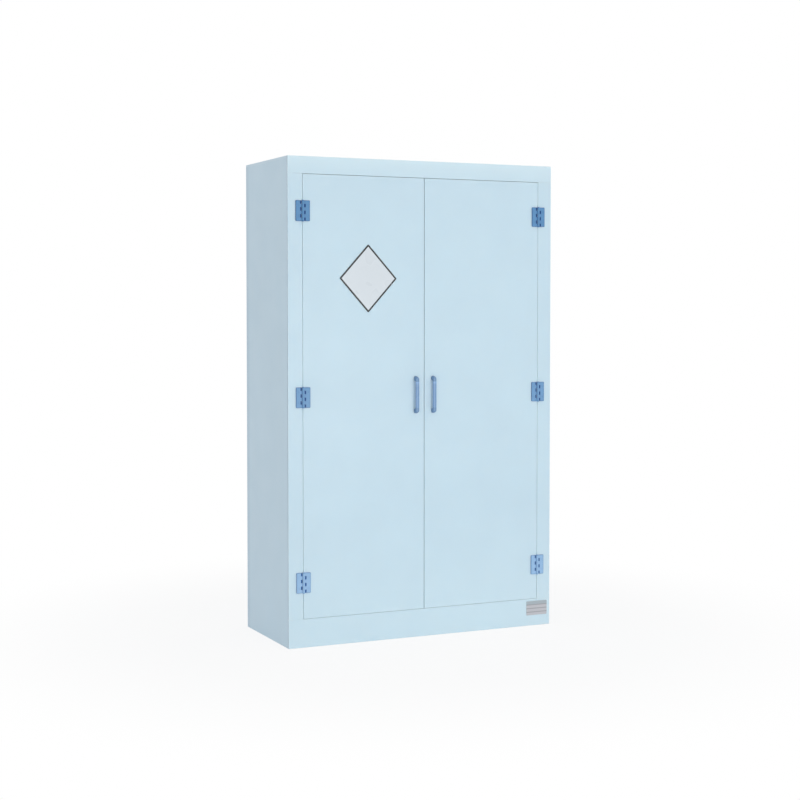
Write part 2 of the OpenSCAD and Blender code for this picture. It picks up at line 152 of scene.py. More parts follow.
# Camera and light
CAMERA_PLACE = (-2.5830, -5.5466, 1.2517)
CAMERA_YAW = math.radians(24.962)
CAMERA_TILT = math.radians(2.230)
CAMERA_LENS = 70.52
CAMERA_SHIFT = -0.04
AMBIENT = 0.757
AMBIENT_TINT = (0.96, 0.975, 1.0, 1.0)
KEY_PLACE = (0.5, -5.0, 0.5)
KEY_AIM = (0.0, -0.2, 0.5)
KEY_SIZE = 1.6
KEY_POWER = 66.0
KEY_TINT = (1.0, 0.98, 0.94)
FLOOR_HALF = 40.0
FLOOR_GREY = 0.93
FLOOR_GLOW = 0.85
SHADOW_NEAR, SHADOW_FAR = 0.8, 2.0


def painted(red, green, blue):
    """A colour in screen values from 0 to 255, as the linear colour that a shader takes."""
    share = np.array([red, green, blue]) / 255
    linear = np.where(share <= 0.04045, share / 12.92, ((share + 0.055) / 1.055) ** 2.4)
    return (*linear.tolist(), 1.0)


SHEET_BLUE = painted(200, 223, 236)
SHEET_EDGE = painted(212, 230, 240)
FRONT_BLUE = painted(208, 229, 240)
# Painted light on the front boards, low down and along the top edge
FRONT_PAINTED_LIGHT = painted(230, 246, 253)
# Painted shade on the front boards' outer edges
OUTER_EDGE_SHADE = painted(229, 230, 233)
# Painted shade towards the side panels' rear edge
REAR_PAINTED_SHADE = painted(241, 242, 244)
# Painted light on the sawn sides inside the door gaps
GAP_PAINTED_LIGHT = painted(228, 248, 255)
JOINT_TINT = painted(205, 210, 216)
LINER_WHITE = painted(222, 232, 237)
LINER_EDGE = painted(232, 239, 242)
BEAD_BLUE = painted(206, 226, 238)
HINGE_HIGH = painted(98, 147, 193)
# Painted light on the hinges, towards the floor
HINGE_PAINTED_LIGHT = painted(157, 194, 230)
HINGE_EDGE = painted(160, 192, 226)
# Painted shade in the hinges' slots and screw holes, and along their rims
SLOT_PAINTED_SHADE = painted(72, 128, 184)
RIM_PAINTED_SHADE = painted(205, 214, 226)
HANDLE_BLUE = painted(119, 155, 198)
# End caps in a deeper blue, partly painted shade on the handles' ends
CAP_BLUE = painted(108, 144, 184)
# Painted highlight on the grip below the upper cap
PAINTED_HIGHLIGHT_BLUE = painted(136, 172, 214)
STEEL = painted(160, 164, 168)
FERRITE = painted(66, 67, 71)
SIGN_PALE = painted(215, 223, 229)
SIGN_DARK = painted(38, 41, 46)
PLATE_GREY = painted(193, 193, 198)
PLATE_BAND = painted(170, 181, 188)
PLATE_LINE = painted(156, 157, 163)
DUST = painted(214, 213, 207)

# Wear and skin of the plastics
PLASTIC_IOR = 1.49
CLOUDS = 5.0
WORN_SHARE = 0.5
SCRATCH_SHARE = 0.35
SCRATCH_ROUGH = 0.10
SCRATCH_DEPTH = 0.01
GLOSS_SPREAD = 0.04
NOISE_SPREAD = (0.3, 0.7)
WAVE_SCALE = 3.5
GLOSS_SCALE = 11.0
WEAR_SCALE = 70.0
RAGGED_SHARE, EDGE_SHARE = 0.7, 0.6
WEAR_RANGE = (0.5, 0.95)
SCRATCH_SETS = (((0.35, 0.6, 0.2), 5.0), ((-0.7, -0.9, 0.5), 8.0))
SCRATCH_STRETCH = (520.0, 520.0, 9.0)
SCRATCH_LINE = (0.66, 0.74)
SCRATCH_PATCH = (0.5, 0.62)
DUST_SCALE = 14.0
DUST_SPREAD, DUST_LEAST = (0.25, 0.75), 0.35
DUST_FACING = (0.6, 0.97)
CAP_BLEND = (0.4, 0.6)

# Skin of the metals
BRUSH_STRETCH = (25.0, 2500.0, 2500.0)
BRUSH_DEPTH = 0.01 * MM
BRUSH_ROUGH = (0.26, 0.42)
FERRITE_GRAIN = 1400.0
FERRITE_DEPTH = 0.05 * MM
FERRITE_ROUGH = (0.38, 0.55)


# Surfaces as arrays

Skin = namedtuple("Skin", "points quads caps masks")


def grid_quads(rows, cols, wrap=False):
    """Faces of a grid of points, row by row. Wrapped, the last column joins the first."""
    index = np.arange(rows * cols).reshape(rows, cols)
    here = index if wrap else index[:, :-1]
    beside = np.roll(index, -1, axis=1) if wrap else index[:, 1:]
    return np.stack([here[:-1], here[1:], beside[1:], beside[:-1]], axis=-1).reshape(-1, 4)


def joined(skins):
    """Several skins as one, with their faces renumbered."""
    starts = np.cumsum([0] + [len(s.points) for s in skins[:-1]])
    return Skin(
        np.concatenate([s.points for s in skins]),
        np.concatenate([s.quads + start for s, start in zip(skins, starts)]),
        [cap + start for s, start in zip(skins, starts) for cap in s.caps],
        {name: np.concatenate([s.masks[name] for s in skins]) for name in skins[0].masks},
    )


def merged(skin):
    """The same skin with points that lie on each other made one."""
    _, first, place = np.unique(np.round(skin.points, 7), axis=0, return_index=True, return_inverse=True)
    place = place.ravel()
    masks = {name: mask[first] for name, mask in skin.masks.items()}
    return Skin(skin.points[first], place[skin.quads], [place[cap] for cap in skin.caps], masks)


def sleeve(rings, masks):
    """A closed skin: a ring of points carried from row to row, with a flat cap on the first and the last.

    The rings run anticlockwise as seen from where the rows lead.
    """
    rows, cols = rings.shape[:2]
    around = np.arange(cols)
    quads = grid_quads(rows, cols, wrap=True)[:, ::-1]
    caps = [around[::-1], (rows - 1) * cols + around]
    spread = {name: np.repeat(mask, cols) for name, mask in masks.items()}
    return Skin(rings.reshape(-1, 3), quads, caps, spread)


def edge_lines(low, high, rounding):
    """Places of a face's grid lines along one axis: close over the rounding, then one a band further in.

    Over the rounding they follow the tangent of evenly spaced angles, so that it turns evenly.
    """
    turn = rounding * (1 - np.tan(np.linspace(math.pi / 4, 0, ROUND_STEPS + 1)))
    roomy = high - low > 2.5 * (rounding + EDGE_BAND)
    start = low + np.append(turn, [rounding + EDGE_BAND] if roomy else [])
    return np.concatenate([start, (low + high - start)[::-1]])


def slab(low, high, rounding):
    """A board between two corners, with rounded edges.

    Each face of the plain box is a grid. Every grid point is drawn towards the nearest point of the box
    shrunk by the rounding, onto a ball of that radius round it. The edge mask falls from 1 at an edge to 0
    a band in. The sawn mask is 1 on the four narrow sides, where the board was cut from its sheet, and 0 on
    both faces.
    """
    low, high = np.array(low), np.array(high)
    thin = int(np.argmin(high - low))
    rounding = min(rounding, ROUND_SHARE * (high - low).min())
    lines = [edge_lines(low[axis], high[axis], rounding) for axis in range(3)]
    faces = []
    for axis in range(3):
        across, along = (axis + 1) % 3, (axis + 2) % 3
        u, v = np.meshgrid(lines[across], lines[along], indexing="ij")
        quads = grid_quads(*u.shape)
        for end, facing in ((low, -1), (high, 1)):
            box = np.empty(u.shape + (3,))
            box[..., axis] = end[axis]
            box[..., across] = u
            box[..., along] = v
            core = np.clip(box, low + rounding, high - rounding)
            away = box - core
            away /= np.linalg.norm(away, axis=-1, keepdims=True)
            inset = np.sort(np.minimum(box - low, high - box), axis=-1)[..., 1]
            edge = np.clip(1 - inset / EDGE_BAND, 0, 1)
            sawn = 1 - away[..., thin] ** 2
            points = (core + rounding * away).reshape(-1, 3)
            faces.append(Skin(points, quads[:, ::facing], [], {"edge": edge.ravel(), "sawn": sawn.ravel()}))
    return merged(joined(faces))


def ring(corners, inset, radius):
    """A convex outline, anticlockwise, drawn in by an inset and with its corners rounded.

    Each corner is an arc. Its centre lies on the corner's bisector, at the inset and the radius from both
    sides, and it turns from the outward direction of one side to that of the next.
    """
    corners = np.array(corners)
    before = corners - np.roll(corners, 1, axis=0)
    after = np.roll(before, -1, axis=0)
    heading = np.arctan2(before[:, 1], before[:, 0])
    turn = (np.arctan2(after[:, 1], after[:, 0]) - heading) % (2 * math.pi)
    outward = heading - math.pi / 2
    middle = outward + turn / 2
    depth = (inset + radius) / np.cos(turn / 2)
    centres = corners - depth[:, None] * np.stack([np.cos(middle), np.sin(middle)], axis=1)
    angles = outward[:, None] + turn[:, None] * np.linspace(0, 1, ROUND_STEPS + 2)
    arc = np.stack([np.cos(angles), np.sin(angles)], axis=-1)
    return (centres[:, None] + radius * arc).reshape(-1, 2)


def tray_skin(low, high):
    """A tray: its wall's outline carried round a rectangle with rounded corners.

    The outline runs from the rounded foot up the outside, over the rim, down the inside and through a round
    weld to the floor. Each of its points is an inset from the rectangle and a height.
    """
    quarter = np.linspace(0, math.pi / 2, ROUND_STEPS + 1)
    foot, rim, weld = TRAY_FOOT_ROUND, TRAY_RIM_ROUND, TRAY_WELD_ROUND
    height = high[2] - low[2]
    band_z = height - rim - EDGE_BAND
    outline = [
        (foot * (1 - np.sin(quarter)), foot * (1 - np.cos(quarter)), 0),
        ([0.0], [band_z], 0),
        (rim * (1 - np.cos(quarter)), height - rim + rim * np.sin(quarter), 1),
        (TRAY_WALL - rim + rim * np.sin(quarter), height - rim + rim * np.cos(quarter), 1),
        ([TRAY_WALL], [band_z], 0),
        (TRAY_WALL + weld * (1 - np.cos(quarter)), TRAY_WALL + weld * (1 - np.sin(quarter)), 0),
    ]
    insets = np.concatenate([inset for inset, _, _ in outline])
    levels = low[2] + np.concatenate([level for _, level, _ in outline])
    edge = np.concatenate([np.full(len(inset), value) for inset, _, value in outline])
    corners = [(low[0], low[1]), (high[0], low[1]), (high[0], high[1]), (low[0], high[1])]
    radii = np.maximum(TRAY_CORNER_ROUND - insets, TRAY_INNER_CORNER_ROUND)
    flat = np.stack([ring(corners, inset, radius) for inset, radius in zip(insets, radii)])
    rings = np.concatenate([flat, np.broadcast_to(levels[:, None, None], flat.shape[:2] + (1,))], axis=-1)
    return sleeve(rings, {"edge": edge})


def plate_skin(corners, back_y, thickness, corner_round):
    """A thin plate on the front: its outline carried forward, with the front edge rounded over."""
    quarter = np.linspace(0, math.pi / 2, ROUND_STEPS + 1)
    insets = np.append(0, PLATE_ROUND * (1 - np.cos(quarter)))
    depths = np.append(0, thickness - PLATE_ROUND + PLATE_ROUND * np.sin(quarter))
    flat = np.stack([ring(corners, inset, corner_round - inset) for inset in insets])
    y = np.broadcast_to(back_y - depths[:, None], flat.shape[:2])
    rings = np.stack([flat[..., 0], y, flat[..., 1]], axis=-1)
    return sleeve(rings, {"edge": np.zeros(len(insets))})


def handle_skin(low, high):
    """A bow handle: a rounded section carried from the upper foot over the grip to the lower foot.

    Each section is a superellipse, as wide as the handle, between a point of the bow's outer line and one of
    its inner line. Up the foot both points rise together on quarter ellipses. Over the shoulder the outer
    point goes round while the inner one waits, and along the grip both run level. The lower half mirrors the
    upper. A shallow groove parts each end cap from the grip. The cap mask is 1 on the caps, and the
    mask of a painted highlight is 1 on the grip next to the upper cap.
    """
    half_len, half_w = (high[2] - low[2]) / 2, (high[0] - low[0]) / 2
    door_y, reach = high[1], high[1] - low[1]
    middle_x, middle_z = (low[0] + high[0]) / 2, (low[2] + high[2]) / 2
    gap = reach - GRIP_T
    outer_z, inner_z = half_len - END_RUN, half_len - FOOT_LEN - INNER_RUN
    rise = np.linspace(0, math.pi / 2, FOOT_STATIONS)
    bend = np.linspace(math.asin(gap / reach), math.pi / 2, SHOULDER_STATIONS)[1:]
    groove = half_len - CAP_LEN - GROOVE_HALF_W * np.array([-2.0, -1.0, 0.0, 1.0, 2.0])
    level = np.concatenate([groove, np.linspace(inner_z, 0, GRIP_STATIONS)])
    foot_d = gap * np.sin(rise)
    outer_half = np.concatenate([
        np.stack([outer_z + END_RUN * np.sqrt(1 - (foot_d / reach) ** 2), foot_d], axis=1),
        np.stack([outer_z + END_RUN * np.cos(bend), reach * np.sin(bend)], axis=1),
        np.stack([level, np.full(len(level), reach)], axis=1),
    ])
    inner_half = np.concatenate([
        np.stack([inner_z + INNER_RUN * np.cos(rise), foot_d], axis=1),
        np.tile([inner_z, gap], (len(bend), 1)),
        np.stack([np.minimum(level, inner_z), np.full(len(level), gap)], axis=1),
    ])
    groove_row = FOOT_STATIONS + len(bend) + 2
    share_half = np.ones(len(outer_half))
    cap_half, painted_highlight_half = np.zeros((2, len(outer_half)))
    share_half[groove_row] = GROOVE_SHARE
    cap_half[:groove_row + 1] = 1
    # Painted highlight on the grip next to the upper cap
    painted_highlight_half[groove_row + 1:groove_row + 1 + HIGHLIGHT_STATIONS] = 1

    def both(half, flip=1):
        return np.concatenate([half, half[-2::-1] * flip])

    outer, inner = both(outer_half, [-1, 1]), both(inner_half, [-1, 1])
    share, cap = both(share_half), both(cap_half)
    painted_highlight = np.append(painted_highlight_half, np.zeros(len(painted_highlight_half) - 1))
    centre, half_t = (outer + inner) / 2, (outer - inner) / 2 * share[:, None]
    angle = np.linspace(0, 2 * math.pi, SECTION_POINTS, endpoint=False)
    side = np.sign(np.cos(angle)) * np.abs(np.cos(angle)) ** (2 / SECTION_POWER)
    up = np.sign(np.sin(angle)) * np.abs(np.sin(angle)) ** (2 / SECTION_POWER)
    x = middle_x + half_w * share[:, None] * side
    z = middle_z + centre[:, :1] + half_t[:, :1] * up
    y = door_y - centre[:, 1:] - half_t[:, 1:] * up
    masks = {"edge": np.zeros(len(outer)), "cap": cap, "painted_highlight": painted_highlight}
    return sleeve(np.stack([x, y, z], axis=-1), masks)


def bead_skin(start, end, one_way, other_way, size):
    """A weld bead along the corner of two boards: a quarter round that swells in small ripples.

    The ripples are a sine along the bead, and the bead draws in to a small share of its size at both ends.
    """
    start, end = np.array(start), np.array(end)
    length = np.linalg.norm(end - start)
    run = np.linspace(0, 1, int(length / BEAD_STEP) + 1)
    ripple = 1 + RIPPLE_SHARE * np.sin(2 * math.pi * run * length / RIPPLE_PITCH)
    taper = np.clip(np.minimum(run, 1 - run) * length / BEAD_TAPER, BEAD_END_SHARE, 1)
    reach = (size * ripple * taper)[:, None]
    quarter = np.linspace(0, math.pi / 2, BEAD_POINTS)
    sunk = np.full((len(run), 1), -BEAD_SINK)
    one = np.concatenate([sunk, reach, reach * np.cos(quarter), sunk], axis=1)
    other = np.concatenate([sunk, sunk, reach * np.sin(quarter), reach], axis=1)
    path = start + run[:, None] * (end - start)
    rings = path[:, None] + one[..., None] * np.array(one_way) + other[..., None] * np.array(other_way)
    if np.dot(np.cross(one_way, other_way), end - start) < 0:
        rings = rings[:, ::-1]
    return sleeve(rings, {"edge": np.zeros(len(run))})


# Shader helpers

def add_node(tree, kind, inputs=None, **options):
    """Adds a node, sets its options, and gives each input a value or a link from another node's output."""
    made = tree.nodes.new(kind)
    for name, value in options.items():
        setattr(made, name, value)
    for name, value in (inputs or {}).items():
        if isinstance(value, bpy.types.NodeSocket):
            tree.links.new(value, made.inputs[name])
        else:
            made.inputs[name].default_value = value
    return made


def sums(tree, operation, *values):
    """One step of arithmetic."""
    return add_node(tree, "ShaderNodeMath", dict(enumerate(values)), operation=operation).outputs[0]


def ranged(tree, value, from_low, from_high, to_low=0.0, to_high=1.0, curve="SMOOTHSTEP"):
    """A value carried from one range to another, and held at its ends."""
    inputs = {"Value": value, "From Min": from_low, "From Max": from_high,
              "To Min": to_low, "To Max": to_high}
    return add_node(tree, "ShaderNodeMapRange", inputs, interpolation_type=curve).outputs[0]


def noise(tree, place, scale, detail=2.0, roughness=0.5):
    """Soft noise over a place, around one half."""
    inputs = {"Vector": place, "Scale": scale, "Detail": detail, "Roughness": roughness}
    return add_node(tree, "ShaderNodeTexNoise", inputs).outputs["Fac"]


def mixed(tree, share, first, second, blend="MIX"):
    """A mix of two colours."""
    inputs = {0: share, 6: first, 7: second}
    return add_node(tree, "ShaderNodeMix", inputs, data_type="RGBA", blend_type=blend).outputs[2]


def stretched(tree, place, turn, scale):
    """A place turned and scaled, so that noise over it runs in streaks."""
    inputs = {"Vector": place, "Rotation": turn, "Scale": scale}
    return add_node(tree, "ShaderNodeMapping", inputs).outputs[0]


KINDS = {"value": "NodeSocketFloat", "colour": "NodeSocketColor", "place": "NodeSocketVector"}


def effect(name, inputs, outputs):
    """A new node group, with its inner inputs and outputs."""
    tree = bpy.data.node_groups.new(name, "ShaderNodeTree")
    for direction, sockets in (("INPUT", inputs), ("OUTPUT", outputs)):
        for label, kind in sockets.items():
            tree.interface.new_socket(label, in_out=direction, socket_type=KINDS[kind])
    given = add_node(tree, "NodeGroupInput").outputs
    result = add_node(tree, "NodeGroupOutput").inputs
    return tree, given, result


def cloudy_tone():
    """Clouding: the colour made lighter and darker by soft noise."""
    inputs = {"Place": "place", "Colour": "colour", "Clouds": "value", "Depth": "value"}
    tree, given, result = effect("cloudy_tone", inputs, {"Colour": "colour"})
    cloud = noise(tree, given["Place"], given["Clouds"], detail=3.0)
    darkest = sums(tree, "SUBTRACT", 1.0, given["Depth"])
    lightest = sums(tree, "ADD", 1.0, given["Depth"])
    tone = ranged(tree, cloud, *NOISE_SPREAD, darkest, lightest, "LINEAR")
    tree.links.new(mixed(tree, 1.0, given["Colour"], tone, "MULTIPLY"), result["Colour"])
    return tree


def sheet_skin():
    """The skin of extruded or moulded plastic: a fine orange peel on long, shallow waves, in millimetres."""
    inputs = {"Place": "place", "Grain": "value", "Peel": "value", "Wave": "value"}
    tree, given, result = effect("sheet_skin", inputs, {"Height": "value", "Gloss": "value"})
    peel = noise(tree, given["Place"], given["Grain"], detail=1.0)
    wave = noise(tree, given["Place"], WAVE_SCALE, detail=1.0)
    fine = sums(tree, "MULTIPLY", peel, given["Peel"])
    tree.links.new(sums(tree, "MULTIPLY_ADD", wave, given["Wave"], fine), result["Height"])
    uneven = noise(tree, given["Place"], GLOSS_SCALE)
    tree.links.new(ranged(tree, uneven, *NOISE_SPREAD, -1.0, 1.0), result["Gloss"])
    return tree


def worn_edges():
    """Wear along edges: the edge mask broken up by noise."""
    tree, given, result = effect("worn_edges", {"Place": "place", "Edge": "value"}, {"Mask": "value"})
    ragged = noise(tree, given["Place"], WEAR_SCALE, detail=4.0, roughness=0.65)
    near_edge = sums(tree, "MULTIPLY", given["Edge"], EDGE_SHARE)
    both = sums(tree, "MULTIPLY_ADD", ragged, RAGGED_SHARE, near_edge)
    tree.links.new(ranged(tree, both, *WEAR_RANGE), result["Mask"])
    return tree


def hairline_scratches():
    """Hairline scratches: streaks of noise in two directions, kept where a broader noise is high."""
    tree, given, result = effect("hairline_scratches", {"Place": "place"}, {"Mask": "value"})
    masks = []
    for turn, patches in SCRATCH_SETS:
        streak = noise(tree, stretched(tree, given["Place"], turn, SCRATCH_STRETCH), 1.0)
        patch = noise(tree, given["Place"], patches)
        line = ranged(tree, streak, *SCRATCH_LINE)
        masks.append(sums(tree, "MULTIPLY", line, ranged(tree, patch, *SCRATCH_PATCH)))
    tree.links.new(sums(tree, "MAXIMUM", *masks), result["Mask"])
    return tree


def settled_dust():
    """Dust: thin on faces that look up, uneven, and none elsewhere."""
    tree, given, result = effect("settled_dust", {"Place": "place"}, {"Mask": "value"})
    normal = add_node(tree, "ShaderNodeNewGeometry").outputs["Normal"]
    upward = add_node(tree, "ShaderNodeSeparateXYZ", {0: normal}).outputs["Z"]
    patches = noise(tree, given["Place"], DUST_SCALE, detail=5.0, roughness=0.6)
    uneven = ranged(tree, patches, *DUST_SPREAD, DUST_LEAST, 1.0)
    tree.links.new(sums(tree, "MULTIPLY", ranged(tree, upward, *DUST_FACING), uneven), result["Mask"])
    return tree


EFFECTS = {made.__name__: made() for made in
           (cloudy_tone, sheet_skin, worn_edges, hairline_scratches, settled_dust)}


def placed(tree, name, **inputs):
    """One of the effects, placed in a material."""
    made = add_node(tree, "ShaderNodeGroup", node_tree=EFFECTS[name])
    for label, value in inputs.items():
        if isinstance(value, bpy.types.NodeSocket):
            tree.links.new(value, made.inputs[label])
        else:
            made.inputs[label].default_value = value
    return made.outputs


def new_finish(name):
    """A new material with its tree, its surface shader and the place on the piece."""
    material = bpy.data.materials.new(name)
    material.use_nodes = True
    tree = material.node_tree
    tree.nodes.clear()
    shader = add_node(tree, "ShaderNodeBsdfPrincipled")
    add_node(tree, "ShaderNodeOutputMaterial", {"Surface": shader.outputs[0]})
    place = add_node(tree, "ShaderNodeTexCoord").outputs["Object"]
    return material, tree, shader, place


def plastic(name, colour, edge_colour, rough, grain=420.0, peel=0.05, wave=0.35, cloud=0.015, dust=0.12,
            shine=0.5, glow=0.0, marks=None):
    """A plastic: clouded, with an orange peel, worn edges, hairline scratches and a little dust.

    Glow, if given, is how far light spreads inside it. Marks, if given, is a function that paints the
    piece's own marks, and its painted light and shade, over the clouded colour.
    """
    material, tree, shader, place = new_finish(name)
    tone = placed(tree, "cloudy_tone", Place=place, Colour=colour, Clouds=CLOUDS, Depth=cloud)["Colour"]
    if marks:
        tone = marks(tree, place, tone)
    edge = add_node(tree, "ShaderNodeAttribute", attribute_name="edge").outputs["Fac"]
    worn = placed(tree, "worn_edges", Place=place, Edge=edge)["Mask"]
    scratch = placed(tree, "hairline_scratches", Place=place)["Mask"]
    dusty = sums(tree, "MULTIPLY", placed(tree, "settled_dust", Place=place)["Mask"], dust)
    skin = placed(tree, "sheet_skin", Place=place, Grain=grain, Peel=peel, Wave=wave)
    tone = mixed(tree, sums(tree, "MULTIPLY", worn, WORN_SHARE), tone, edge_colour)
    tone = mixed(tree, sums(tree, "MULTIPLY", scratch, SCRATCH_SHARE), tone, edge_colour)
    tone = mixed(tree, dusty, tone, DUST)
    gloss = sums(tree, "MULTIPLY_ADD", skin["Gloss"], GLOSS_SPREAD, rough)
    gloss = sums(tree, "MULTIPLY_ADD", scratch, SCRATCH_ROUGH, gloss)
    gloss = sums(tree, "ADD", dusty, gloss)
    height = sums(tree, "MULTIPLY_ADD", scratch, -SCRATCH_DEPTH, skin["Height"])
    bump = add_node(tree, "ShaderNodeBump", {"Strength": 1.0, "Distance": MM, "Height": height})
    tree.links.new(tone, shader.inputs["Base Color"])
    tree.links.new(gloss, shader.inputs["Roughness"])
    tree.links.new(bump.outputs[0], shader.inputs["Normal"])
    shader.inputs["IOR"].default_value = PLASTIC_IOR
    shader.inputs["Specular IOR Level"].default_value = shine
    if glow:
        shader.inputs["Subsurface Weight"].default_value = 1.0
        shader.inputs["Subsurface Radius"].default_value = (1.0, 1.0, 1.0)
        shader.inputs["Subsurface Scale"].default_value = glow
    return material


def painted_light_low(tree, place, tone):
    """The hinges' blue, made paler towards the floor by painted light."""
    level = add_node(tree, "ShaderNodeSeparateXYZ", {0: place}).outputs["Z"]
    low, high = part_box("left_hinge_pins")
    share = sums(tree, "POWER", ranged(tree, level, low.z, high.z, 1.0, 0.0, "LINEAR"), PALING_POWER)
    return mixed(tree, share, tone, HINGE_PAINTED_LIGHT)


def side_painted_shade(tree, place, tone):
    """The side panels' blue, made a little darker towards the rear edge by painted shade."""
    back_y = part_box("left_side_panel")[1].y
    depth = add_node(tree, "ShaderNodeSeparateXYZ", {0: place}).outputs["Y"]
    return mixed(tree, ranged(tree, depth, back_y - REAR_BAND, back_y), tone, REAR_PAINTED_SHADE, "MULTIPLY")


def gap_painted_light(tree, across):
    """Painted light on the sawn sides in the gaps round the doors, more towards the floor and the hinges."""
    low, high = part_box("top_rail")
    sawn = add_node(tree, "ShaderNodeAttribute", attribute_name="sawn").outputs["Fac"]
    aside = sums(tree, "ABSOLUTE", across["X"])
    inside = ranged(tree, aside, high.x - GAP_EDGE_FULL, high.x - GAP_EDGE_END, 1.0, 0.0)
    below_top = ranged(tree, across["Z"], high.z - GAP_EDGE_FULL, high.z - GAP_EDGE_END, 1.0, 0.0)
    to_floor = ranged(tree, across["Z"], 0.0, low.z, 1.0, 0.0, "LINEAR")
    to_hinges = ranged(tree, aside, 0.0, high.x, 0.0, HINGE_SIDE_SHARE, "LINEAR")
    share = sums(tree, "MINIMUM", sums(tree, "ADD", to_floor, to_hinges), 1.0)
    in_gaps = sums(tree, "MULTIPLY", inside, below_top)
    return sums(tree, "MULTIPLY", sums(tree, "MULTIPLY", sawn, in_gaps), share)


def joint_line(tree, across):
    """A fine line, fading outwards, where the head of the left stile meets the top rail."""
    level, inner_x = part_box("top_rail")[0].z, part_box("left_stile")[1].x
    away = sums(tree, "ABSOLUTE", sums(tree, "SUBTRACT", across["Z"], level))
    line = ranged(tree, away, JOINT_CORE, JOINT_HALF_H, 1.0, 0.0)
    outer_end = ranged(tree, across["X"], inner_x - JOINT_START, inner_x - JOINT_FULL)
    inner_end = sums(tree, "LESS_THAN", across["X"], inner_x - JOINT_END)
    return sums(tree, "MULTIPLY", line, sums(tree, "MULTIPLY", outer_end, inner_end))


def front_tones(tree, place, tone):
    """The front boards' blue, with painted light towards the floor and along the top edge.

    Their narrow sides get painted shade on the outer edges and painted light inside the gaps round the
    doors.
    """
    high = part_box("top_rail")[1]
    across = add_node(tree, "ShaderNodeSeparateXYZ", {0: place}).outputs
    # Painted light towards the floor and the top edge
    near_floor = ranged(tree, across["Z"], 0.0, PAINTED_LIGHT_FOOT_H, PAINTED_LIGHT_FOOT_SHARE, 0.0, "LINEAR")
    near_top = ranged(tree, across["Z"], high.z - PAINTED_LIGHT_HEAD_H, high.z, 0.0, PAINTED_LIGHT_HEAD_SHARE, "LINEAR")
    tone = mixed(tree, sums(tree, "ADD", near_floor, near_top), tone, FRONT_PAINTED_LIGHT)
    # Painted light inside the gaps round the doors
    tone = mixed(tree, gap_painted_light(tree, across), tone, GAP_PAINTED_LIGHT)
    # Painted shade on the outer edges
    aside = sums(tree, "ABSOLUTE", across["X"])
    outside = ranged(tree, aside, high.x - OUTER_SHADE_START, high.x - OUTER_SHADE_FULL)
    tone = mixed(tree, outside, tone, OUTER_EDGE_SHADE, "MULTIPLY")
    return mixed(tree, joint_line(tree, across), tone, JOINT_TINT, "MULTIPLY")


def hinge_distances(tree, place):
    """Distances sideways and up or down from the middle of the nearest hinge."""
    lower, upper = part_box("left_lower_frame_leaf"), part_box("left_upper_frame_leaf")
    pin_x = -(lower[0].x + LEAF_W)
    pitch = (upper[0].z - lower[0].z) / (len(HEIGHTS) - 1)
    across = add_node(tree, "ShaderNodeSeparateXYZ", {0: place}).outputs
    sideways = sums(tree, "ABSOLUTE", sums(tree, "SUBTRACT", sums(tree, "ABSOLUTE", across["X"]), pin_x))
    from_first = sums(tree, "SUBTRACT", across["Z"], (lower[0].z + lower[1].z) / 2)
    return sideways, sums(tree, "PINGPONG", from_first, pitch / 2)


def slot_shade(tree, place, tone):
    """The hinge leaves: painted shade along their rims and, by depth, in their slots and screw holes.

    The knuckles keep the plain blue, and the leaves' outer flanks most of it.
    """
    tone = painted_light_low(tree, place, tone)
    low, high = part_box("left_upper_frame_leaf")
    half_h = (high.z - low.z) / 2
    depth = add_node(tree, "ShaderNodeSeparateXYZ", {0: place}).outputs["Y"]
    sideways, upright = hinge_distances(tree, place)
    sides = ranged(tree, sideways, LEAF_W - RIM_START, LEAF_W - RIM_FULL)
    ends = ranged(tree, upright, half_h - RIM_START, half_h - RIM_FULL)
    rim = sums(tree, "MAXIMUM", sides, ends)
    deep = ranged(tree, depth, high.y - SLOT_START, high.y - SLOT_FULL)
    deep = sums(tree, "MULTIPLY", deep, ranged(tree, sideways, KNUCKLE_R, KNUCKLE_R + SLOT_BLEND))
    deep = sums(tree, "MULTIPLY", deep, ranged(tree, rim, 0.0, 1.0, 1.0, FLANK_SHARE, "LINEAR"))
    # Painted shade along the rims, then by depth in the slots and screw holes
    tone = mixed(tree, rim, tone, RIM_PAINTED_SHADE, "MULTIPLY")
    return mixed(tree, deep, tone, SLOT_PAINTED_SHADE, "MULTIPLY")


def cap_shade_and_highlight(tree, place, tone):
    """The handles' end caps, in a deeper blue that partly stands for painted shade on the ends, and a
    painted highlight on the grip next to the upper cap.
    """
    cap = add_node(tree, "ShaderNodeAttribute", attribute_name="cap").outputs["Fac"]
    painted_highlight = add_node(tree, "ShaderNodeAttribute", attribute_name="painted_highlight").outputs["Fac"]
    tone = mixed(tree, painted_highlight, tone, PAINTED_HIGHLIGHT_BLUE)
    return mixed(tree, ranged(tree, cap, *CAP_BLEND), tone, CAP_BLUE)


def sign_border(tree, place, tone):
    """The sign's dark border, by the share of the way from its middle to its edge."""
    low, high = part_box("sign_plate")
    middle, half = (low + high) / 2, (high - low) / 2
    centred = add_node(tree, "ShaderNodeVectorMath", {0: place, 1: middle}, operation="SUBTRACT").outputs[0]
    across = add_node(tree, "ShaderNodeSeparateXYZ", {0: centred}).outputs
    share_x = sums(tree, "DIVIDE", sums(tree, "ABSOLUTE", across["X"]), half.x)
    share_z = sums(tree, "DIVIDE", sums(tree, "ABSOLUTE", across["Z"]), half.z)
    share = sums(tree, "ADD", share_x, share_z)
    return mixed(tree, ranged(tree, share, BORDER_START, BORDER_FULL), tone, SIGN_DARK)


